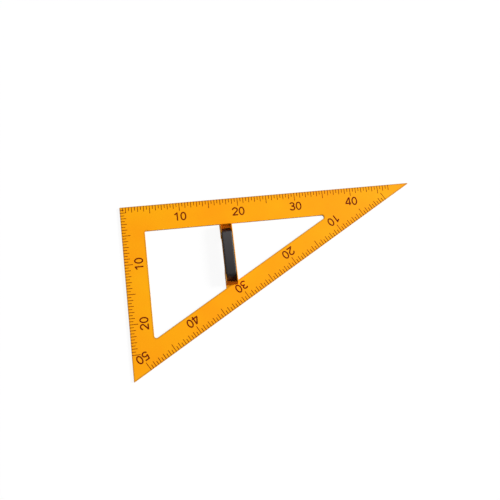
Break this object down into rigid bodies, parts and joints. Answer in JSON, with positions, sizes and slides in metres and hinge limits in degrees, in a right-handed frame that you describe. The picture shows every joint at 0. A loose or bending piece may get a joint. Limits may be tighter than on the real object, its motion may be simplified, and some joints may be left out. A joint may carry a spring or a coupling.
{
  "type": "board set square",
  "caption": "Large flat 30-60-90 triangle with a triangular window, centimetre scales on its edges and a raised bridge handle with an inlaid grip, for drawing on a classroom board.",
  "frame": {"origin": "middle of the outline's bounding box, on the flat back face", "axes": "+X along the long leg from the right angle to the 30 degree tip, +Y along the short leg towards the long leg, +Z out of the printed face on the handle's side"},
  "size_m": [0.507, 0.2934, 0.0244],
  "materials": {
    "orange_plastic": "satin moulded",
    "black_plastic": "fine matt moulded",
    "screw_steel": "zinc plated",
    "printed_ink": "screen printed scales and figures"
  },
  "bodies": {
    "root": {"triangle_frame": "orange_plastic", "handle_bridge": "orange_plastic", "handle_grip": "black_plastic", "foot_screws": "screw_steel", "grip_screws": "screw_steel"}
  },
  "joints": []
}
